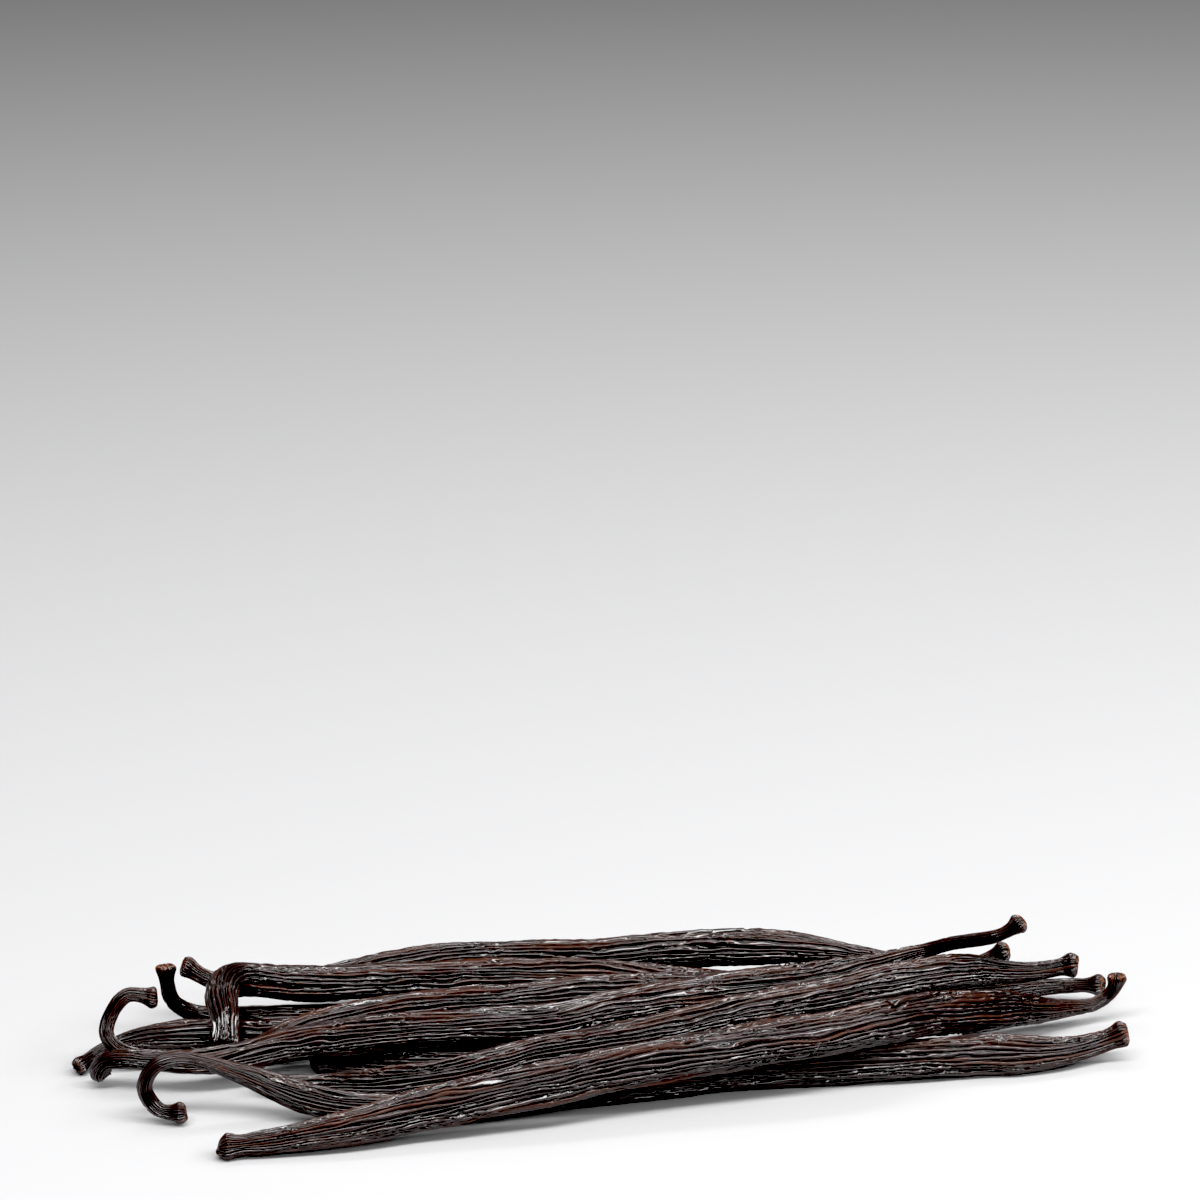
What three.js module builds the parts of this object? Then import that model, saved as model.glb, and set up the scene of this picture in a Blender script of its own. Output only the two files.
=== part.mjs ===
// A loose bundle of ten cured vanilla pods lying on a flat surface.
// Millimetres, +Z up, the pods run along X and the viewer stands on the -Y side.
// Every pod is a slender lathe, pinched to a neck and flared to a lip at both ends,
// that is then bent along its own route through the pile.
import * as THREE from "three";
import { mergeVertices } from "three/addons/utils/BufferGeometryUtils.js";

// Facets round a pod, and rings for each span between two route points.
const SIDES = 12;
const RINGS_PER_SPAN = 3;

// Moves the pile so that its footprint is centred on the origin.
const CENTRE_X = 0.1;
const CENTRE_Y = -3.5;

// The dished cut scar at each end: how deep it is, and how wide its floor is beside the lip.
const SCAR_DEPTH = 0.4;
const SCAR_FLOOR = 0.7;
// The lip swells over this length, and its rounded edge turns over this much of it.
const LIP_LENGTH = 2.2;
const LIP_EDGE = 0.8;

// A cured pod is never quite round: it has three soft lobes and dents along its length.
// Both are taken off the radius, so neighbours that just clear each other still do.
const LOBES = 3;
const LOBE_SHARE = 0.05;
const DENT_SHARE = 0.05;
const DENT_LENGTH = 17;
const LOBE_TWIST_LENGTH = 120;

// One row for each pod. belly is the greatest radius. Each end has the radius of its lip and
// of its neck, how far the neck reaches, and the length over which it swells to the belly.
// route holds the points the pod passes through, from its left end to its right end.
// squeeze is a narrower stretch where neighbours press the pod: its place, span and depth.
const PODS = [
  {
    name: "pod_front",
    belly: 4.3,
    left: { lip: 2.3, neck: 2.3, reach: 2, swell: 48 },
    right: { lip: 1.9, neck: 1.35, reach: 8, swell: 28 },
    route: [
      [-70.2, -36.4, 2.2], [-62, -35, 2.5], [-48, -32.5, 3.9], [-34, -28, 5.6],
      [-12, -22.5, 8.2], [7, -17, 10], [24, -13, 11.2], [41, -8.5, 12.2], [51, -4, 12.3],
      [61, 3.3, 11], [78, 14, 7.2], [88, 20, 5], [95.2, 23.5, 4.6], [98.3, 24, 7.1],
      [99.3, 24, 10.7],
    ],
  },
  {
    name: "pod_hook",
    belly: 3.9,
    left: { lip: 2.1, neck: 1.5, reach: 22, swell: 28 },
    right: { lip: 2.5, neck: 2.2, reach: 6, swell: 20 },
    squeeze: { at: 66, span: 26, depth: 1.3 },
    route: [
      [-76.4, -22.2, 2.4], [-82, -21.6, 3], [-84.5, -21, 7], [-82.5, -20.5, 11],
      [-78, -20, 12.3], [-74, -19.5, 11.5], [-66, -19, 8.5], [-56, -20, 4.8], [-46, -21.5, 3.2],
      [-29, -19, 2.7], [-12, -14.5, 2.7], [7, -10.5, 3.4], [26, -5.5, 3.6], [46, -3, 3.6],
      [72, 1, 3.6], [86, 3, 3.4], [93.6, 6, 3.9], [99.4, 6, 6.4],
    ],
  },
  {
    name: "pod_core",
    belly: 3.2,
    left: { lip: 1.9, neck: 2, reach: 2, swell: 25 },
    right: { lip: 2.3, neck: 1.5, reach: 8, swell: 26 },
    route: [
      [-56, 1.2, 2.1], [-35, -1, 2.8], [-24, -1, 2.8], [0, 5, 2.8], [20, 12, 2.8], [42, 20, 2.8],
      [59, 26, 2.8], [77, 32, 2.9], [87, 34, 3.4], [98.1, 32, 4.7],
    ],
  },
  {
    name: "pod_mid",
    belly: 3.6,
    left: { lip: 2, neck: 2, reach: 4, swell: 26 },
    right: { lip: 2.5, neck: 1.8, reach: 5, swell: 24 },
    route: [
      [-64, -9, 2.2], [-59, -10, 2.5], [-41, -11.3, 3.5], [-30, -10.7, 4.4], [-20, -8.7, 5.8],
      [-12, -6.5, 7.2], [-1, -5.5, 8.8], [11, -1.5, 9.8], [23, 5, 10], [30, 8, 10.2],
      [41, 13, 10.3], [54, 20, 10.3], [70, 26, 10.3], [83, 27, 9.7], [92.2, 27, 11.4],
    ],
  },
  {
    name: "pod_low",
    belly: 3.3,
    left: { lip: 1.8, neck: 1.4, reach: 8, swell: 16 },
    right: { lip: 1.8, neck: 1.5, reach: 8, swell: 30 },
    route: [
      [-99.8, -1, 1.7], [-95, 6.5, 2.4], [-90, 10, 2.7], [-82, 11.5, 2.9], [-76, 12, 2.9],
      [-58, 11.8, 2.9], [-35, 13, 2.9], [-10, 16, 2.9], [15, 20, 2.8], [30, 25, 2.2],
      [40, 29.5, 1.8],
    ],
  },
  {
    name: "pod_upturn",
    belly: 3.2,
    left: { lip: 2.1, neck: 1.5, reach: 8, swell: 22 },
    right: { lip: 1.8, neck: 1.5, reach: 8, swell: 30 },
    route: [
      [-84.2, 16.8, 15.8], [-84, 17, 11.8], [-83, 17.8, 7.6], [-79, 18.3, 4.7], [-70, 18.8, 3.2],
      [-59, 19, 2.8], [-45, 20.2, 2.8], [-20, 23.8, 2.8], [0, 27.7, 2.8], [15, 32.8, 2.8],
      [33, 39.7, 2.3], [45, 44, 1.8],
    ],
  },
  {
    name: "pod_rise",
    belly: 3.6,
    left: { lip: 2, neck: 1.9, reach: 4, swell: 50 },
    right: { lip: 2.2, neck: 1.4, reach: 17, swell: 27 },
    route: [
      [-94.3, -5.3, 1.6], [-94.5, -5.6, 3.4], [-93.2, -6.2, 5.5], [-89.8, -7, 6.4],
      [-85, -7.6, 6.4], [-76, -8, 6.2], [-68, -5.4, 6.3], [-60, -2.2, 7], [-52, -1.3, 8],
      [-44, -1.2, 9.1], [-28, -1, 10.2], [-8, 1.5, 10.6], [0, 5.5, 10.8], [15, 12.5, 10.6],
      [33, 19, 10.5], [49, 25.3, 10.8], [61, 28, 13.2], [66.5, 26.2, 15.8], [76, 23, 19],
      [80.8, 23, 22.3],
    ],
  },
  {
    name: "pod_arch",
    belly: 3,
    left: { lip: 2.2, neck: 1.45, reach: 34, swell: 22 },
    right: { lip: 2.2, neck: 1.5, reach: 10, swell: 26 },
    route: [
      [-84.2, 4, 13.9], [-90.2, 4, 14.5], [-93.2, 2.5, 11], [-93.8, 0.8, 8], [-91.9, 0.2, 5.5],
      [-86, 2.5, 2.6], [-77, 3, 2.1], [-67, 4.4, 3], [-60, 5.2, 5.6], [-53, 6.4, 7.6],
      [-44, 7.4, 9.3], [-33, 9.6, 10], [-20, 11.7, 10.2], [-1, 16.7, 10.2], [15, 20.2, 9.3],
      [33, 26, 7.2], [44, 30, 6.6], [70, 36, 6.5], [79.6, 36.5, 10.4],
    ],
  },
  {
    name: "pod_wrap",
    belly: 3.4,
    left: { lip: 2.6, neck: 2.7, reach: 2, swell: 14 },
    right: { lip: 1.8, neck: 1.5, reach: 10, swell: 30 },
    route: [
      [-71.6, -0.8, 5.4], [-71.7, 3.2, 9.6], [-72.6, 8.6, 12.8], [-71.4, 13.5, 13.4],
      [-67.2, 17, 12.2], [-59, 18.5, 10.9], [-36, 21, 10.6], [-20, 23, 10.5], [0, 24.6, 9.8],
      [15, 27, 7], [33, 33, 4], [54, 41, 2],
    ],
  },
  {
    name: "pod_back",
    belly: 3.8,
    left: { lip: 2.2, neck: 1.7, reach: 8, swell: 26 },
    right: { lip: 1.9, neck: 1.6, reach: 10, swell: 30 },
    route: [
      [-82.1, 25, 12.2], [-76, 24.8, 8.7], [-59, 26.6, 6.7], [-50, 27.8, 7.6], [-36, 29.6, 10],
      [-26, 30.8, 10.4], [-1, 32.6, 10.4], [19, 32.4, 12.2], [34, 33, 12.2], [48, 34.8, 10.2],
      [59, 38, 7], [64, 40, 5.5],
    ],
  },
];

// Dark, oily browns: no two pods of a bundle are the same.
const BROWNS = [0x3a2c27, 0x40312b, 0x38291f, 0x35292a, 0x43352e];

// The radius of one end at a distance from it: lip, neck, then the swell up to the belly.
function endRadius(distance, end, belly) {
  const swollen = THREE.MathUtils.smoothstep(distance, end.reach, end.reach + end.swell);
  const lip = (end.lip - end.neck) * Math.exp(-((distance / LIP_LENGTH) ** 2));
  return end.neck + (belly - end.neck) * swollen + lip;
}

function radiusAt(pod, place, length) {
  const left = endRadius(place, pod.left, pod.belly);
  const right = endRadius(length - place, pod.right, pod.belly);
  let radius = Math.min(left, right);
  if (pod.squeeze) {
    const away = (place - pod.squeeze.at) / pod.squeeze.span;
    radius -= pod.squeeze.depth * Math.exp(-away * away);
  }
  return radius;
}

// Where the rings go: closer together on the lips, and where the route points are close.
function ringPlaces(curve, spans, length) {
  const edges = [LIP_EDGE, LIP_LENGTH, 2 * LIP_LENGTH];
  const places = [];
  const lengths = curve.getLengths(spans * RINGS_PER_SPAN);
  for (const place of lengths) {
    if (place > 2.6 * LIP_LENGTH && place < length - 2.6 * LIP_LENGTH) places.push(place);
  }
  for (const edge of edges) places.push(edge, length - edge);
  return places.sort((a, b) => a - b);
}

// The half outline of the straight pod, from one scar round to the other.
function outline(pod, curve) {
  const length = curve.getLength();
  const points = [
    new THREE.Vector2(0, SCAR_DEPTH),
    new THREE.Vector2(SCAR_FLOOR * pod.left.lip, 0),
  ];
  for (const place of ringPlaces(curve, pod.route.length - 1, length)) {
    points.push(new THREE.Vector2(radiusAt(pod, place, length), place));
  }
  points.push(new THREE.Vector2(SCAR_FLOOR * pod.right.lip, length));
  points.push(new THREE.Vector2(0, length - SCAR_DEPTH));
  return points;
}

// Directions across the route that turn as little as possible from one step to the next.
function acrossFrames(curve, steps) {
  const frames = [];
  let tangent = curve.getTangentAt(0);
  const across = new THREE.Vector3(0, 0, 1).cross(tangent).normalize();
  const turn = new THREE.Quaternion();
  for (let i = 0; i <= steps; i++) {
    const next = curve.getTangentAt(i / steps);
    turn.setFromUnitVectors(tangent, next);
    across.applyQuaternion(turn);
    tangent = next;
    frames.push({ across: across.clone(), tangent: next.clone() });
  }
  return frames;
}

// Shares of the radius that the lobes and dents take off, always inwards.
function hollows(angle, place, phase) {
  const twist = (2 * Math.PI * place) / LOBE_TWIST_LENGTH + phase;
  const lobe = 0.5 + 0.5 * Math.sin(LOBES * angle + twist);
  const dent = 0.5 + 0.5 * Math.sin((2 * Math.PI * place) / DENT_LENGTH + 2.1 * phase + angle);
  return 1 - LOBE_SHARE * lobe - DENT_SHARE * dent;
}

// Bends the straight lathe, whose axis is Y, along the route.
function bend(geometry, curve, phase) {
  const length = curve.getLength();
  const steps = 600;
  const frames = acrossFrames(curve, steps);
  const position = geometry.getAttribute("position");
  const vertex = new THREE.Vector3();
  const up = new THREE.Vector3();
  for (let i = 0; i < position.count; i++) {
    vertex.fromBufferAttribute(position, i);
    const share = THREE.MathUtils.clamp(vertex.y / length, 0, 1);
    const frame = frames[Math.round(share * steps)];
    const angle = Math.atan2(vertex.z, vertex.x);
    const radius = Math.hypot(vertex.x, vertex.z) * hollows(angle, vertex.y, phase);
    up.crossVectors(frame.tangent, frame.across);
    const place = curve.getPointAt(share);
    place.addScaledVector(frame.across, radius * Math.cos(angle));
    place.addScaledVector(up, -radius * Math.sin(angle));
    // The underside settles flat where the pod touches the surface.
    position.setXYZ(i, place.x + CENTRE_X, place.y + CENTRE_Y, Math.max(place.z, 0));
  }
}

// Joins the seam and the two scar centres, and drops the triangles that closed up there.
function closed(geometry) {
  geometry.deleteAttribute("normal");
  geometry.deleteAttribute("uv");
  const merged = mergeVertices(geometry, 1e-3);
  const kept = [];
  const corners = merged.index.array;
  for (let i = 0; i < corners.length; i += 3) {
    const [a, b, c] = [corners[i], corners[i + 1], corners[i + 2]];
    if (a !== b && b !== c && a !== c) kept.push(a, b, c);
  }
  merged.setIndex(kept);
  merged.computeVertexNormals();
  return merged;
}

function makePod(pod, number) {
  const points = pod.route.map(([x, y, z]) => new THREE.Vector3(x, y, z));
  const curve = new THREE.CatmullRomCurve3(points, false, "centripetal");
  curve.arcLengthDivisions = 1200;
  // Turned by half a facet, so that a flat and not an edge faces down.
  const straight = new THREE.LatheGeometry(outline(pod, curve), SIDES, Math.PI / SIDES);
  bend(straight, curve, number);
  const material = new THREE.MeshStandardMaterial({
    color: BROWNS[number % BROWNS.length],
    roughness: 0.45,
    metalness: 0,
  });
  const mesh = new THREE.Mesh(closed(straight), material);
  mesh.name = pod.name;
  return mesh;
}

const bundle = new THREE.Group();
bundle.name = "vanilla_pod_bundle";
PODS.forEach((pod, number) => bundle.add(makePod(pod, number)));

export default bundle;
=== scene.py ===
# %% [markdown]
# A loose bundle of ten cured vanilla pods. The frame holds one solid for each pod, already
# bent along its way through the pile. This lesson dresses each of them: a straight pod is spun
# as a lathe, wrinkled while it is still straight, and only then bent along the same route.
# Working on the straight pod is the easy way to folds that run along it and never break.

# %% Load the frame
import math

import bmesh
import bpy
import numpy as np
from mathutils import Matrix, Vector


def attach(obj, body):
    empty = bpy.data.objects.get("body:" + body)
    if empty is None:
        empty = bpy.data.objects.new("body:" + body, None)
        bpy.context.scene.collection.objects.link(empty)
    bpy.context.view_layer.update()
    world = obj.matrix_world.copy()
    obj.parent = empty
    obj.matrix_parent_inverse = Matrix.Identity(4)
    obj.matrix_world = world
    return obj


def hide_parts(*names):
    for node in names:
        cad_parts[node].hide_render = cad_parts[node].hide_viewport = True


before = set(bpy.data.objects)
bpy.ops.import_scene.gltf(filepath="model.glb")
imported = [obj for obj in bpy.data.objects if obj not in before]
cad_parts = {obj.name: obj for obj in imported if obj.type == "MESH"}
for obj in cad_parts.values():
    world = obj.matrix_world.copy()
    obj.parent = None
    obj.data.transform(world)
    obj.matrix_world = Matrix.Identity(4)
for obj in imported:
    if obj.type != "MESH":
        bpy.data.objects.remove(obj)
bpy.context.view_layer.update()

MM = 0.001
print("nodes in the frame:", len(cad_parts))

# %% [markdown]
# The camera stands in front of the bundle and looks down on it at a shallow angle, through a
# long lens, as for a packshot. The pile lies low in the picture, because the camera aims
# above it. Setting the place, the pitch and the lens is enough: nothing has to be shifted.

# %% Camera
CAMERA_PITCH = math.radians(17.8)
CAMERA_PLACE = Vector((-0.84, -713.8, 322.2)) * MM
# A lens of 4105 pixels on a picture 1200 pixels wide, seen on a 36 mm sensor.
LENS = 4105 / 1200 * 36

camera = bpy.data.cameras.new("packshot_camera")
camera.sensor_width = 36
camera.lens = LENS
camera.clip_start = 0.01
camera.clip_end = 20
camera_object = bpy.data.objects.new("packshot_camera", camera)
camera_object.location = CAMERA_PLACE
camera_object.rotation_euler = (math.pi / 2 - CAMERA_PITCH, 0, 0)
bpy.context.collection.objects.link(camera_object)
bpy.context.scene.camera = camera_object
print("lens %.1f mm, pitch %.1f degrees" % (LENS, math.degrees(CAMERA_PITCH)))

# %% [markdown]
# Every colour in this file is written as it would be picked on a screen, in sRGB hex. Shaders
# work with linear light, so one function turns hex into linear. A second small function adds
# a shader node, fills in its settings and plugs in its links, which keeps materials short.

# %% Colours and nodes
def linear(hex_colour):
    channels = []
    for start in (0, 2, 4):
        share = int(hex_colour.lstrip("#")[start:start + 2], 16) / 255
        if share <= 0.04045:
            channels.append(share / 12.92)
        else:
            channels.append(((share + 0.055) / 1.055) ** 2.4)
    return (*channels, 1.0)


def add_node(tree, kind, settings=None, sockets=None, links=None):
    node = tree.nodes.new(kind)
    for name, value in (settings or {}).items():
        setattr(node, name, value)
    for name, value in (sockets or {}).items():
        node.inputs[name].default_value = value
    for name, source in (links or {}).items():
        tree.links.new(source, node.inputs[name])
    return node


def start_material(name):
    material = bpy.data.materials.new(name)
    material.use_nodes = True
    material.node_tree.nodes.clear()
    return material, material.node_tree


print("the grey #808080 is %.3f in linear light" % linear("#808080")[0])

# %% [markdown]
# The pods lie on a sweep: a matt card so large that its edge is never seen. It is a pale grey
# card under strong light, so it shows as white. A really white card would throw so much light
# back up that the undersides of such dark pods would turn grey.

# %% Card floor
CARD_HALF_WIDTH = 4.0
CARD_FIBRES_PER_METRE = 900.0

card, tree = start_material("matt_pale_card")
card_place = add_node(tree, "ShaderNodeTexCoord")
card_fibre = add_node(
    tree, "ShaderNodeTexNoise",
    sockets={"Scale": CARD_FIBRES_PER_METRE, "Detail": 2.0},
    links={"Vector": card_place.outputs["Object"]},
)
card_bump = add_node(
    tree, "ShaderNodeBump",
    sockets={"Strength": 0.05, "Distance": 0.0002},
    links={"Height": card_fibre.outputs[0]},
)
card_shader = add_node(
    tree, "ShaderNodeBsdfPrincipled",
    sockets={"Base Color": linear("#bebebf"), "Roughness": 0.9, "Specular IOR Level": 0.1},
    links={"Normal": card_bump.outputs[0]},
)
add_node(tree, "ShaderNodeOutputMaterial", links={"Surface": card_shader.outputs[0]})

mesh = bpy.data.meshes.new("pale_card")
shape = bmesh.new()
bmesh.ops.create_grid(shape, x_segments=1, y_segments=1, size=CARD_HALF_WIDTH)
shape.to_mesh(mesh)
shape.free()
mesh.materials.append(card)
floor = bpy.data.objects.new("pale_card", mesh)
bpy.context.collection.objects.link(floor)
print("card %.0f m wide" % floor.dimensions.x)

# %% [markdown]
# A very wide softbox straight above lights the pods softly from all sides. The other boxes are
# long and narrow: one high and one low in front, one at the right and a weak one behind. A
# long box draws a thin glint on each rib that faces its way, and together they reach the ribs
# of every pod, whichever way it points. The surrounding is dark, because a pale one would lay
# a grey veil over the black, oily skin. For the same reason the picture gets a black point, as
# a photographer sets it: what is darker than that goes to pure black.

# %% Studio light
def light_box(name, place, width, depth, watts):
    light = bpy.data.lights.new(name, "AREA")
    light.shape = "RECTANGLE"
    light.size = width
    light.size_y = depth
    light.energy = watts
    box = bpy.data.objects.new(name, light)
    box.location = place
    box.rotation_euler = (-Vector(place)).to_track_quat("-Z", "Y").to_euler()
    bpy.context.collection.objects.link(box)
    return box


BOXES = [
    light_box("overhead_softbox", (0, 0.25, 1.1), 2.4, 2.0, 6.5),
    light_box("front_strip_box", (0.1, -0.45, 0.95), 1.5, 0.22, 16.5),
    light_box("side_strip_box", (0.9, -0.2, 0.7), 0.9, 0.25, 6.5),
    light_box("low_strip_box", (0.2, -1.0, 0.7), 1.6, 0.16, 5.5),
    light_box("back_strip_box", (-0.1, 0.35, 0.9), 1.4, 0.16, 2.5),
]
SURROUND_LIGHT = 0.03
surround = bpy.data.worlds.new("dim_studio")
surround.use_nodes = True
surround.node_tree.nodes["Background"].inputs[0].default_value = (1, 1, 1, 1)
surround.node_tree.nodes["Background"].inputs[1].default_value = SURROUND_LIGHT
bpy.context.scene.world = surround
BLACK_POINT = 0.034
view = bpy.context.scene.view_settings
view.view_transform = "Standard"
view.use_curve_mapping = True
view.curve_mapping.black_level = (BLACK_POINT, BLACK_POINT, BLACK_POINT)
view.curve_mapping.update()
print("boxes of light:", ", ".join(box.name for box in BOXES))
print("black point at %.1f %% of white" % (100 * BLACK_POINT))

# %% [markdown]
# A cured vanilla pod is a fermented, sun-dried fruit. Its skin is leathery, nearly black and
# oily: brown to mauve on the ridges, rusty where the oil has been rubbed off, and grey where
# it shines. The furrows are painted near black, as painted shade, and the upper side of each
# pod is painted rusty, as painted top light. The skin is one material for all pods. It reads
# four attributes that are stored with each pod below: rest is the place on the straight pod in
# millimetres, ridge tells furrows from ridges and sets the painted shade, the third marks the
# skin that has lost its oil and also the painted top light, and tip marks the dry wood of the
# ends. Patterns laid out in rest follow every bend.

# %% Start the skin and its fibres
# Painted shade: the near black of the furrows, valleys, creases and cracks between fibres.
FURROW_SHADE = linear("#050302")
SKIN = linear("#1e0f0c")
# The size of one fibre in millimetres, along the pod and across it.
FIBRE_LENGTH = 4.5
FIBRE_WIDTH = 0.42

skin, tree = start_material("cured_vanilla_skin")
rest = add_node(tree, "ShaderNodeAttribute", settings={"attribute_name": "rest"})
ridge = add_node(tree, "ShaderNodeAttribute", settings={"attribute_name": "ridge"})
rubbed_and_toplit = add_node(tree, "ShaderNodeAttribute", settings={"attribute_name": "rubbed_and_toplit"})
tip = add_node(tree, "ShaderNodeAttribute", settings={"attribute_name": "tip"})
fibre_place = add_node(
    tree, "ShaderNodeMapping",
    sockets={"Scale": (1 / FIBRE_LENGTH, 1 / FIBRE_WIDTH, 1 / FIBRE_WIDTH)},
    links={"Vector": rest.outputs["Vector"]},
)
fibres = add_node(
    tree, "ShaderNodeTexVoronoi",
    settings={"feature": "DISTANCE_TO_EDGE"}, sockets={"Scale": 1.0},
    links={"Vector": fibre_place.outputs[0]},
)
fibre_top = add_node(
    tree, "ShaderNodeMapRange", sockets={"From Min": 0.0, "To Min": 0.45, "From Max": 0.12},
    links={"Value": fibres.outputs["Distance"]},
)
fold_top = add_node(
    tree, "ShaderNodeMapRange", sockets={"From Min": 0.4, "From Max": 0.95},
    links={"Value": ridge.outputs["Fac"]},
)
raised = add_node(
    tree, "ShaderNodeMath", settings={"operation": "MULTIPLY"},
    links={0: fibre_top.outputs[0], 1: fold_top.outputs[0]},
)
print("fibres %.2f mm wide and about %.0f mm long" % (FIBRE_WIDTH, FIBRE_LENGTH))

# %% [markdown]
# The colour is laid on in coats, like paint. The first goes from a painted shade, near black,
# in the furrows to the skin on the ridges. Then come patches of other tones, each an elongated
# noise that is let through only on the ridges, because the furrows are kept in painted shade.
# Rust follows where the oil is rubbed off, and also on the upper side, where it is painted top
# light. The dry wood of the ends goes on last.

# %% Colour of the skin
# Each row: colour, width and length of a patch in mm, and where in the noise it fades in.
PATCHES = [
    (linear("#38221b"), 2.0, 12.0, 0.44, 0.66),
    (linear("#342428"), 1.3, 7.0, 0.46, 0.64),
    (linear("#633a25"), 0.7, 3.5, 0.65, 0.74),
]
# Rust of rubbed skin, which on the upper side of each pod is painted top light.
RUBBED_AND_TOPLIT_RIB = linear("#4a2e25")
DRY_WOOD = linear("#7d4526")

# In a Mix node for colours, socket 0 is the share and sockets 6 and 7 are the two colours.
# The first coat is painted shade: near black where the skin is not raised, skin colour on the
# ridges.
coat = add_node(
    tree, "ShaderNodeMix", settings={"data_type": "RGBA"},
    sockets={6: FURROW_SHADE, 7: SKIN}, links={0: raised.outputs[0]},
)
for patch_colour, width, length, low, high in PATCHES:
    patch_place = add_node(
        tree, "ShaderNodeMapping", sockets={"Scale": (1 / length, 1 / width, 1 / width)},
        links={"Vector": rest.outputs["Vector"]},
    )
    patch = add_node(
        tree, "ShaderNodeTexNoise", sockets={"Scale": 1.0, "Detail": 3.0, "Roughness": 0.55},
        links={"Vector": patch_place.outputs[0]},
    )
    shown = add_node(
        tree, "ShaderNodeMapRange", sockets={"From Min": low, "From Max": high},
        links={"Value": patch.outputs[0]},
    )
    on_ridge = add_node(
        tree, "ShaderNodeMath", settings={"operation": "MULTIPLY"},
        links={0: shown.outputs[0], 1: raised.outputs[0]},
    )
    coat = add_node(
        tree, "ShaderNodeMix", settings={"data_type": "RGBA"},
        sockets={7: patch_colour}, links={0: on_ridge.outputs[0], 6: coat.outputs[2]},
    )
# Rusty where the oil is rubbed off, and painted top light on the upper side of each pod.
coat = add_node(
    tree, "ShaderNodeMix", settings={"data_type": "RGBA"},
    sockets={7: RUBBED_AND_TOPLIT_RIB}, links={0: rubbed_and_toplit.outputs["Fac"], 6: coat.outputs[2]},
)
coat = add_node(
    tree, "ShaderNodeMix", settings={"data_type": "RGBA"},
    sockets={7: DRY_WOOD}, links={0: tip.outputs["Fac"], 6: coat.outputs[2]},
)
print("coats of colour:", len(PATCHES) + 3)

# %% [markdown]
# Relief finer than the mesh goes into a bump: the fibres, whose ends break each glint into
# dashes, and two sizes of wrinkle along them. The skin itself is dull, and duller still in the
# furrows. The oil is a clear film over it, which the coat of the shader stands for: it is
# smooth, so it gives the small, hard glints of a well-cured pod. It is thin where it has been
# rubbed off.

# %% Fine relief and shine
# Each row: width and length in mm, and the share of the height.
FINE_RELIEF = [(0.7, 4.5, 0.8), (0.22, 3.0, 0.35)]
RELIEF_HEIGHT = 0.00013

height = fibre_top
for width, length, share in FINE_RELIEF:
    relief_place = add_node(
        tree, "ShaderNodeMapping", sockets={"Scale": (1 / length, 1 / width, 1 / width)},
        links={"Vector": rest.outputs["Vector"]},
    )
    relief = add_node(
        tree, "ShaderNodeTexNoise", sockets={"Scale": 1.0, "Detail": 2.0},
        links={"Vector": relief_place.outputs[0]},
    )
    height = add_node(
        tree, "ShaderNodeMath", settings={"operation": "MULTIPLY_ADD"}, sockets={1: share},
        links={0: relief.outputs[0], 2: height.outputs[0]},
    )
skin_bump = add_node(
    tree, "ShaderNodeBump", sockets={"Strength": 0.85, "Distance": RELIEF_HEIGHT},
    links={"Height": height.outputs[0]},
)
oil = add_node(
    tree, "ShaderNodeMapRange", sockets={"To Min": 0.6, "To Max": 0.34},
    links={"Value": raised.outputs[0]},
)
film = add_node(
    tree, "ShaderNodeMapRange", sockets={"To Min": 1.0, "To Max": 0.35},
    links={"Value": rubbed_and_toplit.outputs["Fac"]},
)
skin_shader = add_node(
    tree, "ShaderNodeBsdfPrincipled",
    sockets={
        "IOR": 1.45, "Specular IOR Level": 0.2,
        "Coat Roughness": 0.1, "Coat IOR": 1.6,
    },
    links={
        "Base Color": coat.outputs[2],
        "Roughness": oil.outputs[0],
        "Coat Weight": film.outputs[0],
        "Normal": skin_bump.outputs[0],
    },
)
add_node(tree, "ShaderNodeOutputMaterial", links={"Surface": skin_shader.outputs[0]})
print("skin nodes:", len(tree.nodes))

# %% [markdown]
# One row for each pod, in millimetres: the greatest radius, then for each end the radius of
# its flared lip, of its neck, how far the neck reaches and the length over which it swells to
# the belly, and last the points of its route. They are the sizes of the pod's solid.

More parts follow.
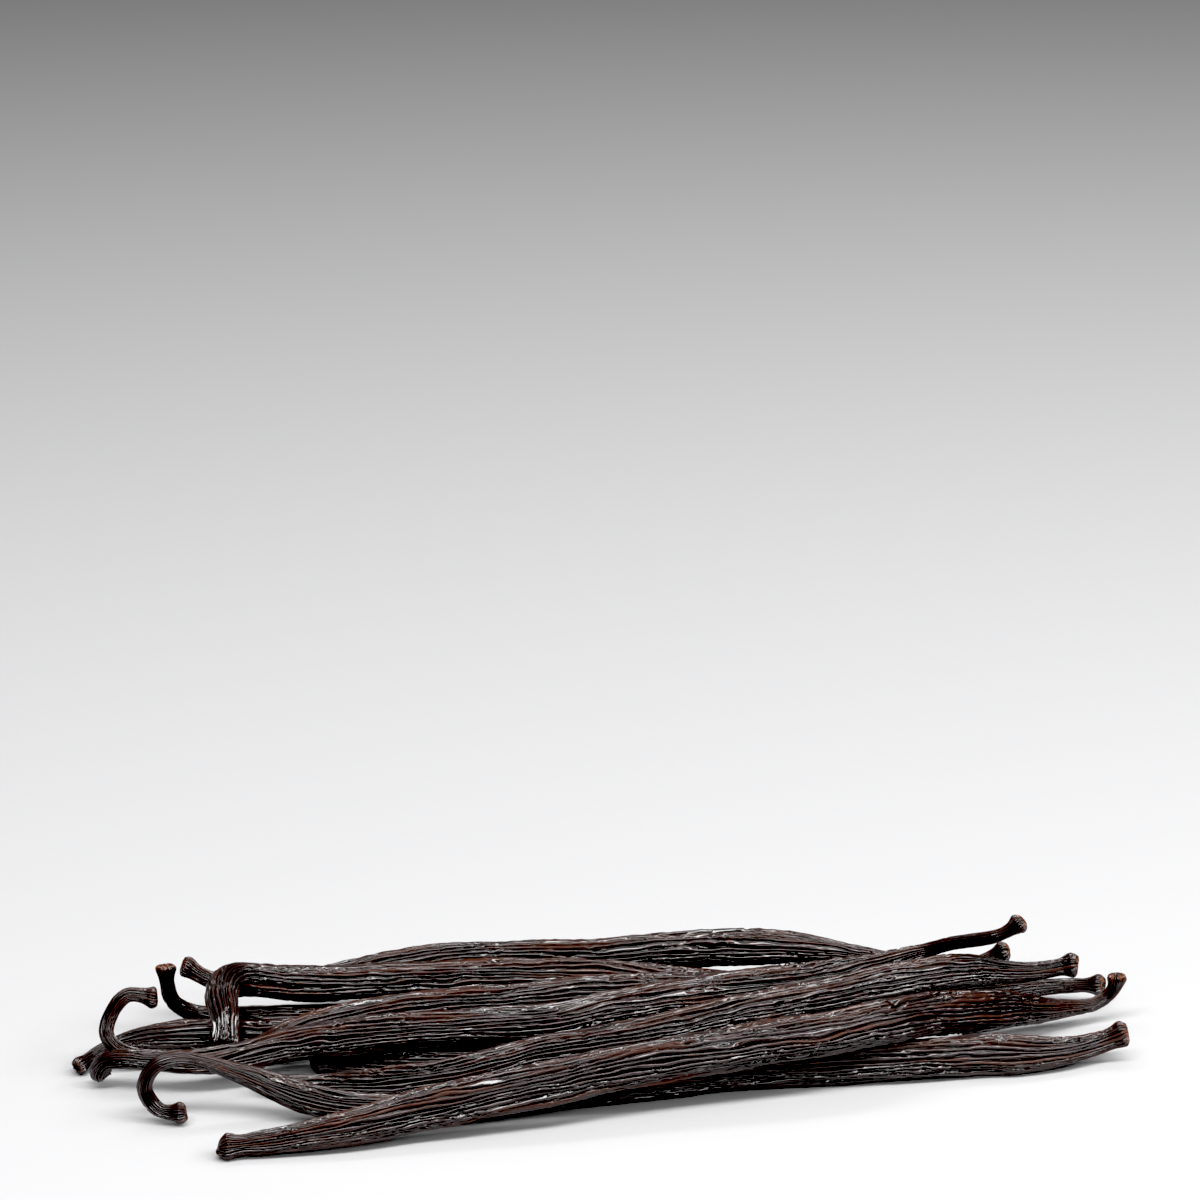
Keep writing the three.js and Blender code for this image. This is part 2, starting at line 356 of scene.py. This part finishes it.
# %% The ten pods
CENTRE = np.array([0.1, -3.5, 0.0])
PODS = {
    "pod_front": (4.3, (2.3, 2.3, 2, 48), (1.9, 1.35, 8, 28), [
        (-70.2, -36.4, 2.2), (-62, -35, 2.5), (-48, -32.5, 3.9), (-34, -28, 5.6),
        (-12, -22.5, 8.2), (7, -17, 10), (24, -13, 11.2), (41, -8.5, 12.2), (51, -4, 12.3),
        (61, 3.3, 11), (78, 14, 7.2), (88, 20, 5), (95.2, 23.5, 4.6), (98.3, 24, 7.1),
        (99.3, 24, 10.7)]),
    "pod_hook": (3.9, (2.1, 1.5, 22, 28), (2.5, 2.2, 6, 20), [
        (-76.4, -22.2, 2.4), (-82, -21.6, 3), (-84.5, -21, 7), (-82.5, -20.5, 11),
        (-78, -20, 12.3), (-74, -19.5, 11.5), (-66, -19, 8.5), (-56, -20, 4.8),
        (-46, -21.5, 3.2), (-29, -19, 2.7), (-12, -14.5, 2.7), (7, -10.5, 3.4), (26, -5.5, 3.6),
        (46, -3, 3.6), (72, 1, 3.6), (86, 3, 3.4), (93.6, 6, 3.9), (99.4, 6, 6.4)]),
    "pod_core": (3.2, (1.9, 2, 2, 25), (2.3, 1.5, 8, 26), [
        (-56, 1.2, 2.1), (-35, -1, 2.8), (-24, -1, 2.8), (0, 5, 2.8), (20, 12, 2.8),
        (42, 20, 2.8), (59, 26, 2.8), (77, 32, 2.9), (87, 34, 3.4), (98.1, 32, 4.7)]),
    "pod_mid": (3.6, (2, 2, 4, 26), (2.5, 1.8, 5, 24), [
        (-64, -9, 2.2), (-59, -10, 2.5), (-41, -11.3, 3.5), (-30, -10.7, 4.4), (-20, -8.7, 5.8),
        (-12, -6.5, 7.2), (-1, -5.5, 8.8), (11, -1.5, 9.8), (23, 5, 10), (30, 8, 10.2),
        (41, 13, 10.3), (54, 20, 10.3), (70, 26, 10.3), (83, 27, 9.7), (92.2, 27, 11.4)]),
    "pod_low": (3.3, (1.8, 1.4, 8, 16), (1.8, 1.5, 8, 30), [
        (-99.8, -1, 1.7), (-95, 6.5, 2.4), (-90, 10, 2.7), (-82, 11.5, 2.9), (-76, 12, 2.9),
        (-58, 11.8, 2.9), (-35, 13, 2.9), (-10, 16, 2.9), (15, 20, 2.8), (30, 25, 2.2),
        (40, 29.5, 1.8)]),
    "pod_upturn": (3.2, (2.1, 1.5, 8, 22), (1.8, 1.5, 8, 30), [
        (-84.2, 16.8, 15.8), (-84, 17, 11.8), (-83, 17.8, 7.6), (-79, 18.3, 4.7),
        (-70, 18.8, 3.2), (-59, 19, 2.8), (-45, 20.2, 2.8), (-20, 23.8, 2.8), (0, 27.7, 2.8),
        (15, 32.8, 2.8), (33, 39.7, 2.3), (45, 44, 1.8)]),
    "pod_rise": (3.6, (2, 1.9, 4, 50), (2.2, 1.4, 17, 27), [
        (-94.3, -5.3, 1.6), (-94.5, -5.6, 3.4), (-93.2, -6.2, 5.5), (-89.8, -7, 6.4),
        (-85, -7.6, 6.4), (-76, -8, 6.2), (-68, -5.4, 6.3), (-60, -2.2, 7), (-52, -1.3, 8),
        (-44, -1.2, 9.1), (-28, -1, 10.2), (-8, 1.5, 10.6), (0, 5.5, 10.8), (15, 12.5, 10.6),
        (33, 19, 10.5), (49, 25.3, 10.8), (61, 28, 13.2), (66.5, 26.2, 15.8), (76, 23, 19),
        (80.8, 23, 22.3)]),
    "pod_arch": (3, (2.2, 1.45, 34, 22), (2.2, 1.5, 10, 26), [
        (-84.2, 4, 13.9), (-90.2, 4, 14.5), (-93.2, 2.5, 11), (-93.8, 0.8, 8), (-91.9, 0.2, 5.5),
        (-86, 2.5, 2.6), (-77, 3, 2.1), (-67, 4.4, 3), (-60, 5.2, 5.6), (-53, 6.4, 7.6),
        (-44, 7.4, 9.3), (-33, 9.6, 10), (-20, 11.7, 10.2), (-1, 16.7, 10.2), (15, 20.2, 9.3),
        (33, 26, 7.2), (44, 30, 6.6), (70, 36, 6.5), (79.6, 36.5, 10.4)]),
    "pod_wrap": (3.4, (2.6, 2.7, 2, 14), (1.8, 1.5, 10, 30), [
        (-71.6, -0.8, 5.4), (-71.7, 3.2, 9.6), (-72.6, 8.6, 12.8), (-71.4, 13.5, 13.4),
        (-67.2, 17, 12.2), (-59, 18.5, 10.9), (-36, 21, 10.6), (-20, 23, 10.5), (0, 24.6, 9.8),
        (15, 27, 7), (33, 33, 4), (54, 41, 2)]),
    "pod_back": (3.8, (2.2, 1.7, 8, 26), (1.9, 1.6, 10, 30), [
        (-82.1, 25, 12.2), (-76, 24.8, 8.7), (-59, 26.6, 6.7), (-50, 27.8, 7.6), (-36, 29.6, 10),
        (-26, 30.8, 10.4), (-1, 32.6, 10.4), (19, 32.4, 12.2), (34, 33, 12.2), (48, 34.8, 10.2),
        (59, 38, 7), (64, 40, 5.5)]),
}
# Where a neighbour presses on a pod it is narrower: the place, the span and the depth.
SQUEEZED = {"pod_hook": (66, 26, 1.3)}
LIP_LENGTH = 2.2
print("pods:", ", ".join(PODS))

# %% [markdown]
# A route is a smooth curve through its points. The centripetal Catmull-Rom curve is used,
# because it passes through every point and makes no loops in tight hooks. Along it a pair of
# directions across the route is carried that turns as little as possible, so that the pod
# isn't wrung where the route bends.

# %% Routes through the pile
def route_points(points, count=2400):
    knots = np.array(points, float)
    first = 2 * knots[0] - knots[1]
    last = 2 * knots[-1] - knots[-2]
    knots = np.vstack([first, knots, last])
    along = np.linspace(0, len(points) - 1, count)
    span = np.minimum(along.astype(int), len(points) - 2)
    w = (along - span)[:, None]
    a, b, c, d = (knots[span + k] for k in range(4))
    gap_ab = np.sqrt(np.linalg.norm(b - a, axis=1))[:, None]
    gap_bc = np.sqrt(np.linalg.norm(c - b, axis=1))[:, None]
    gap_cd = np.sqrt(np.linalg.norm(d - c, axis=1))[:, None]
    leave = ((b - a) / gap_ab - (c - a) / (gap_ab + gap_bc) + (c - b) / gap_bc) * gap_bc
    reach = ((c - b) / gap_bc - (d - b) / (gap_bc + gap_cd) + (d - c) / gap_cd) * gap_bc
    square = -3 * b + 3 * c - 2 * leave - reach
    cube = 2 * b - 2 * c + leave + reach
    return b + leave * w + square * w ** 2 + cube * w ** 3


def route_frames(points):
    line = route_points(points)
    steps = np.linalg.norm(np.diff(line, axis=0), axis=1)
    travelled = np.concatenate([[0], np.cumsum(steps)])
    even = np.linspace(0, travelled[-1], 1201)
    line = np.stack([np.interp(even, travelled, line[:, k]) for k in range(3)], axis=1)
    tangents = np.gradient(line, axis=0)
    tangents /= np.linalg.norm(tangents, axis=1)[:, None]
    across = np.cross((0, 0, 1), tangents[0] + (0, 1e-4, 0))
    rows = []
    for tangent in tangents:
        across = across - tangent * across.dot(tangent)
        across /= np.linalg.norm(across)
        rows.append(across)
    return even, line, tangents, np.array(rows)


front_length = route_frames(PODS["pod_front"][3])[0][-1]
print("pod_front is %.0f mm long along its route" % front_length)

# %% [markdown]
# The radius of a pod along its length: a flared lip, a slim neck and a slow swell to the
# belly, from both ends. The same rule shapes the solids.

# %% Radius along a pod
def smooth_step(x, low, high):
    share = np.clip((x - low) / (high - low), 0, 1)
    return share * share * (3 - 2 * share)


def end_radius(distance, end, belly):
    lip, neck, reach, swell = end
    grown = neck + (belly - neck) * smooth_step(distance, reach, reach + swell)
    return grown + (lip - neck) * np.exp(-(distance / LIP_LENGTH) ** 2)


def pod_radius(name, place, length):
    belly, left, right, _ = PODS[name]
    radius = np.minimum(end_radius(place, left, belly), end_radius(length - place, right, belly))
    if name in SQUEEZED:
        at, span, depth = SQUEEZED[name]
        radius = radius - depth * np.exp(-((place - at) / span) ** 2)
    return radius


front_middle = pod_radius("pod_front", np.array([front_length / 2]), front_length)[0]
print("pod_front has a radius of %.1f mm at its middle" % front_middle)

# %% [markdown]
# Wrinkles come from gradient noise, the pattern behind Blender's own Noise Texture. It is
# worked out here with numpy, because the folds are real relief and not only a bump. It is
# sampled on a cylinder, so that it closes round the pod without a seam.

# %% Gradient noise
def gradient_noise(points, seed):
    draw = np.random.default_rng(seed)
    order = np.tile(draw.permutation(256), 3)
    slopes = draw.normal(size=(256, 3))
    slopes /= np.linalg.norm(slopes, axis=1)[:, None]
    cell = np.floor(points).astype(int)
    inside = points - cell
    ease = inside ** 3 * (inside * (inside * 6 - 15) + 10)
    total = np.zeros(len(points))
    for corner in range(8):
        step = np.array([corner & 1, corner >> 1 & 1, corner >> 2 & 1])
        at = (cell + step) & 255
        key = order[order[order[at[:, 0]] + at[:, 1]] + at[:, 2]]
        rise = np.sum(slopes[key] * (inside - step), axis=1)
        weight = np.prod(np.where(step == 1, ease, 1 - ease), axis=1)
        total += weight * rise
    return total * 1.5


def round_pod(angle, place, radius, across_mm, along_mm, seed):
    # across_mm and along_mm are the size of one lump of the pattern on the skin.
    around = radius / across_mm
    points = np.stack([np.cos(angle) * around, np.sin(angle) * around, place / along_mm], 1)
    return gradient_noise(points + 31.7, seed)


once_round = round_pod(np.linspace(0, 2 * math.pi, 400), np.zeros(400), 4.0, 2.0, 10.0, 1)
print("noise once round a pod, start and end: %.3f, %.3f" % (once_round[0], once_round[-1]))

# %% [markdown]
# As a pod dries, its flesh shrinks and the skin folds along the fibres into ribs, about 1 mm
# wide, with narrow furrows between them. Noise alone gives a fur of short strokes, so the ribs
# are counted out instead: the angle round the pod is turned into a rib number, a slow noise
# bends the ribs, and each rib gets a height and beads of its own. Broad valleys, creases
# across the pod and knots, where the ribs swirl, come on top. Nearly all of it goes inwards.

# %% Ribs and furrows
RIB_PITCH = 0.94
# The depths that furrows, valleys and creases have, as shares of the radius.
FURROW_DEPTH = 0.24
VALLEY_DEPTH = 0.12
CREASE_DEPTH = 0.16
# How far a rib and its beads stand out, and how far all ribs do, as shares of the radius.
RIB_STAND = 0.09
BEAD_STAND = 0.045
RIB_LIFT = 0.03


def along_rib(number, place, along_mm, seed):
    # A value that changes along each rib and has nothing to do with the next rib's.
    points = np.stack([number * 3.37 + 0.5, place / along_mm, np.full(len(place), 0.5)], 1)
    return gradient_noise(points + 17.3, seed)


def pod_ribs(angle, place, belly, seed):
    count = round(2 * math.pi * belly / RIB_PITCH)
    bend = 1.0 * round_pod(angle, place, belly, 3.2, 26.0, seed + 1)
    swirl = 0.7 * round_pod(angle, place, belly, 2.0, 7.0, seed + 2)
    knotted = smooth_step(round_pod(angle, place, belly, 5.0, 14.0, seed + 3), 0.1, 0.4)
    wobble = 0.4 * round_pod(angle, place, belly, 1.6, 6.0, seed + 10)
    number = count * angle / (2 * math.pi) + place / 90 + bend + wobble + knotted * swirl
    rib = np.floor(number) % count
    furrow = np.round(number) % count
    to_edge = np.abs(number - np.round(number))
    dome = 0.88 * smooth_step(to_edge, 0.03, 0.29) + 0.12 * (1 - (1 - 2 * to_edge) ** 2)
    cut = 0.72 + 0.28 * smooth_step(along_rib(furrow, place, 15.0, seed + 4), -0.25, 0.15)
    stand = along_rib(rib, place, 20.0, seed + 5)
    beads = along_rib(rib, place, 1.5, seed + 6)
    return 1 - cut * (1 - dome), dome * stand, dome * beads


def pod_relief(angle, place, radius, belly, seed, wear):
    top, stand, beads = pod_ribs(angle, place, belly, seed)
    valley = smooth_step(round_pod(angle, place, belly, 2.6, 24.0, seed + 7), 0.0, 0.55)
    creases = np.abs(round_pod(angle, place, belly, 2.4, 1.8, seed + 8))
    creased = smooth_step(round_pod(angle, place, belly, 3.0, 9.0, seed + 9), 0.05, 0.35)
    crease = (1 - smooth_step(creases, 0.0, 0.12)) * creased
    depth = FURROW_DEPTH * (1 - top) + VALLEY_DEPTH * valley + CREASE_DEPTH * crease
    depth -= RIB_STAND * stand + BEAD_STAND * beads + RIB_LIFT
    # The ridge share: with it the skin colour is painted darker, as shade, in furrows, valleys and
    # creases.
    height = top * (1 - 0.35 * valley) * (1 - 0.6 * crease)
    dry = smooth_step(round_pod(angle, place, belly, 3.6, 26.0, seed + 13) + wear, -0.15, 0.3)
    rubbed_and_toplit = height * dry * smooth_step(stand, 0.0, 0.4)
    return depth * radius, height, rubbed_and_toplit


# The length in which the lobes turn once round the pod, and that of one dent.
LOBE_TURN = 120
DENT_LENGTH = 17
LOBE_DEPTH = 0.05
DENT_DEPTH = 0.04


def pod_roundness(angle, place, seed):
    # Three soft lobes and slow dents, taken off the radius as in the solids.
    lobe = 0.5 + 0.5 * np.sin(3 * angle + 2 * math.pi * place / LOBE_TURN + seed)
    dent = 0.5 + 0.5 * np.sin(2 * math.pi * place / DENT_LENGTH + 2.1 * seed + angle)
    return 1 - LOBE_DEPTH * lobe - DENT_DEPTH * dent


print("ribs round pod_front:", round(2 * math.pi * PODS["pod_front"][0] / RIB_PITCH))

# %% [markdown]
# The straight pod starts as three edges: from the axis out to the rim, along the pod, and
# back to the axis. They are subdivided, then spun round the X axis into a closed skin. Its
# rings are set closer together near the ends, where the lip and the scar need them.

# %% A straight pod, spun
SIDE_WIDTH = 0.16
RING_STEP = 0.56
CAP_CUTS = 9
END_CROWDING = 0.35


def straight_pod(length, belly):
    sides = int(2 * math.pi * belly / SIDE_WIDTH)
    shape = bmesh.new()
    corners = [shape.verts.new(at) for at in ((0, 0, 0), (0, 0, 1), (1, 0, 1), (1, 0, 0))]
    edges = [shape.edges.new(pair) for pair in zip(corners, corners[1:])]
    bmesh.ops.subdivide_edges(shape, edges=[edges[0], edges[2]], cuts=CAP_CUTS)
    bmesh.ops.subdivide_edges(shape, edges=[edges[1]], cuts=int(length / RING_STEP))
    bmesh.ops.spin(
        shape, geom=shape.verts[:] + shape.edges[:], cent=(0, 0, 0), axis=(1, 0, 0),
        dvec=(0, 0, 0), angle=2 * math.pi, steps=sides, use_merge=True, use_duplicate=False,
    )
    bmesh.ops.remove_doubles(shape, verts=shape.verts[:], dist=1e-5)
    bmesh.ops.recalc_face_normals(shape, faces=shape.faces[:])
    for face in shape.faces:
        face.smooth = True
    return shape


print("sides of pod_front:", int(2 * math.pi * PODS["pod_front"][0] / SIDE_WIDTH))

# %% [markdown]
# The ends of real pods differ: some are cut to a sharp lip, others swell to a little knob
# with a pinched neck behind it. Both come from one rule, which takes a share of the radius
# off the very end, adds some back just behind it and takes some off again at the neck.

# %% Knobs and lips
LIP_EDGE = 0.7
# How far each of the two ends is rounded into a knob: 0 is a sharp lip, 1 a ball.
KNOBS = {
    "pod_front": (1, 0.4), "pod_hook": (0.7, 0.5), "pod_core": (0.8, 0.7), "pod_mid": (0.5, 0.7),
    "pod_low": (0.5, 0.5), "pod_upturn": (0.4, 0.5), "pod_rise": (0.7, 0.8),
    "pod_arch": (0.4, 0.7), "pod_wrap": (0.5, 0.5), "pod_back": (0.4, 0.5),
}
KNOB_LENGTH = 1.4
KNOB_BULGE = 0.16
NECK_PINCH = 0.12
NECK_BEHIND = 3.0


def end_rounding(name, place, length, radius):
    to_end = np.minimum(place, length - place)
    knob = np.where(place < length / 2, KNOBS[name][0], KNOBS[name][1])
    edge = LIP_EDGE + KNOB_LENGTH * knob
    rounding = (0.22 + 0.3 * knob) * radius * np.clip(1 - to_end / edge, 0, 1) ** 2
    rounding -= KNOB_BULGE * knob * radius * np.exp(-((to_end - edge) / 1.0) ** 2)
    neck = np.exp(-((to_end - edge - NECK_BEHIND) / 1.8) ** 2)
    return rounding + NECK_PINCH * knob * radius * neck


print("a full knob is %.1f mm long" % (LIP_EDGE + KNOB_LENGTH))

# %% [markdown]
# Now the unit tube gets its real size. A vertex with a reach of less than 1 lies on one of
# the two scars, where the pod was cut or broken off: it is pulled into a shallow dish with a
# ragged floor. The others get the radius of their place, less the relief, and then each is
# carried onto the route. What the shader needs is stored as attributes on the way.

# %% Wrinkle and bend
SCAR_DEPTH = 0.7
# Pods whose oil has been rubbed off more, or less, than on the others.
WEAR = {"pod_wrap": 0.35, "pod_front": 0.1, "pod_arch": 0.1, "pod_back": -0.15}


def shaped_pod(name, seed):
    belly, left, right, points = PODS[name]
    places, line, tangents, across = route_frames(points)
    length = places[-1]
    shape = straight_pod(length, belly)
    mesh = bpy.data.meshes.new(name + "_skin")
    shape.to_mesh(mesh)
    shape.free()

    flat = np.empty(len(mesh.vertices) * 3)
    mesh.vertices.foreach_get("co", flat)
    x, y, z = flat.reshape(-1, 3).T
    angle = np.arctan2(z, y)
    reach = np.clip(np.hypot(y, z), 0, 1)
    place = length * (x - END_CROWDING * np.sin(2 * math.pi * x) / (2 * math.pi))
    on_scar = reach < 0.999

    radius = pod_radius(name, place, length)
    wear = WEAR.get(name, 0)
    depth, height, rubbed_and_toplit = pod_relief(angle, place, radius, belly, seed, wear)
    to_end = np.minimum(place, length - place)
    near_left = place < length / 2
    rounding = end_rounding(name, place, length, radius)
    skin_radius = radius * pod_roundness(angle, place, seed / 10) - depth - rounding
    ragged = round_pod(angle, reach * 3, belly, 1.2, 1.0, seed + 12)
    dish = SCAR_DEPTH * (1 - reach ** 3) * (1 + 0.5 * ragged)
    place = np.where(on_scar, np.where(x < 0.5, dish, length - dish), place)
    # The break is a little oblique, so one side of the lip stands back.
    slant = 0.35 * (1 + np.cos(angle + seed)) * reach * np.exp(-to_end / 1.5)
    place = place + np.where(x < 0.5, slant, -slant)

    out = skin_radius * reach
    rest = np.stack([place + 20 * seed, out * np.cos(angle), out * np.sin(angle)], 1)
    here = np.stack([np.interp(place, places, line[:, k]) for k in range(3)], 1)
    tangent = np.stack([np.interp(place, places, tangents[:, k]) for k in range(3)], 1)
    side = np.stack([np.interp(place, places, across[:, k]) for k in range(3)], 1)
    up = np.cross(tangent, side)
    # The upper side of each pod is painted rusty, in streaks along the ribs: a painted top light,
    # kept with the rubbed skin.
    outward_z = side[:, 2] * np.cos(angle) - up[:, 2] * np.sin(angle)
    streak = smooth_step(round_pod(angle, place, belly, 0.7, 14.0, seed + 14), -0.05, 0.35)
    rubbed_and_toplit = np.maximum(rubbed_and_toplit, 0.7 * smooth_step(outward_z, 0.6, 0.95) * streak * height)
    moved = here + side * (out * np.cos(angle))[:, None] - up * (out * np.sin(angle))[:, None]
    moved = moved + CENTRE
    moved[:, 2] = np.maximum(moved[:, 2], 0.02)
    mesh.vertices.foreach_set("co", (moved * MM).ravel())
    mesh.update()

    worn = smooth_step(round_pod(angle, place, belly, 1.4, 1.4, seed + 11), -0.35, 0.25)
    rim = (1 - smooth_step(to_end, 0.15, 0.9)) * worn
    scar = 0.05 + 0.75 * smooth_step(reach, 0.6, 0.95) * worn
    # The ends on the right are dry wood. On the left only the upturned one is, and the
    # others just a little.
    woody = np.where(near_left & (name != "pod_upturn"), 0.3, 1.0)
    tip = np.where(on_scar, scar, rim) * woody
    mesh.attributes.new("rest", "FLOAT_VECTOR", "POINT").data.foreach_set("vector", rest.ravel())
    marks = {"ridge": np.where(on_scar, 0.5, height), "rubbed_and_toplit": rubbed_and_toplit * (1 - on_scar), "tip": tip}
    for label, values in marks.items():
        mesh.attributes.new(label, "FLOAT", "POINT").data.foreach_set("value", values)
    return mesh, length

# %% [markdown]
# Each pod is made, given the skin and set in place of its solid. Nothing in a bundle moves by
# itself, so all pods ride on the one body of the frame.

# %% Make the bundle
for number, name in enumerate(PODS):
    mesh, length = shaped_pod(name, 20 * (number + 1))
    mesh.materials.append(skin)
    pod = bpy.data.objects.new(name + "_skin", mesh)
    bpy.context.collection.objects.link(pod)
    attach(pod, "root")
    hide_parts(name)
    triangles = sum(len(face.vertices) - 2 for face in mesh.polygons)
    print("%s: %.0f mm long, %d triangles" % (name, length, triangles))
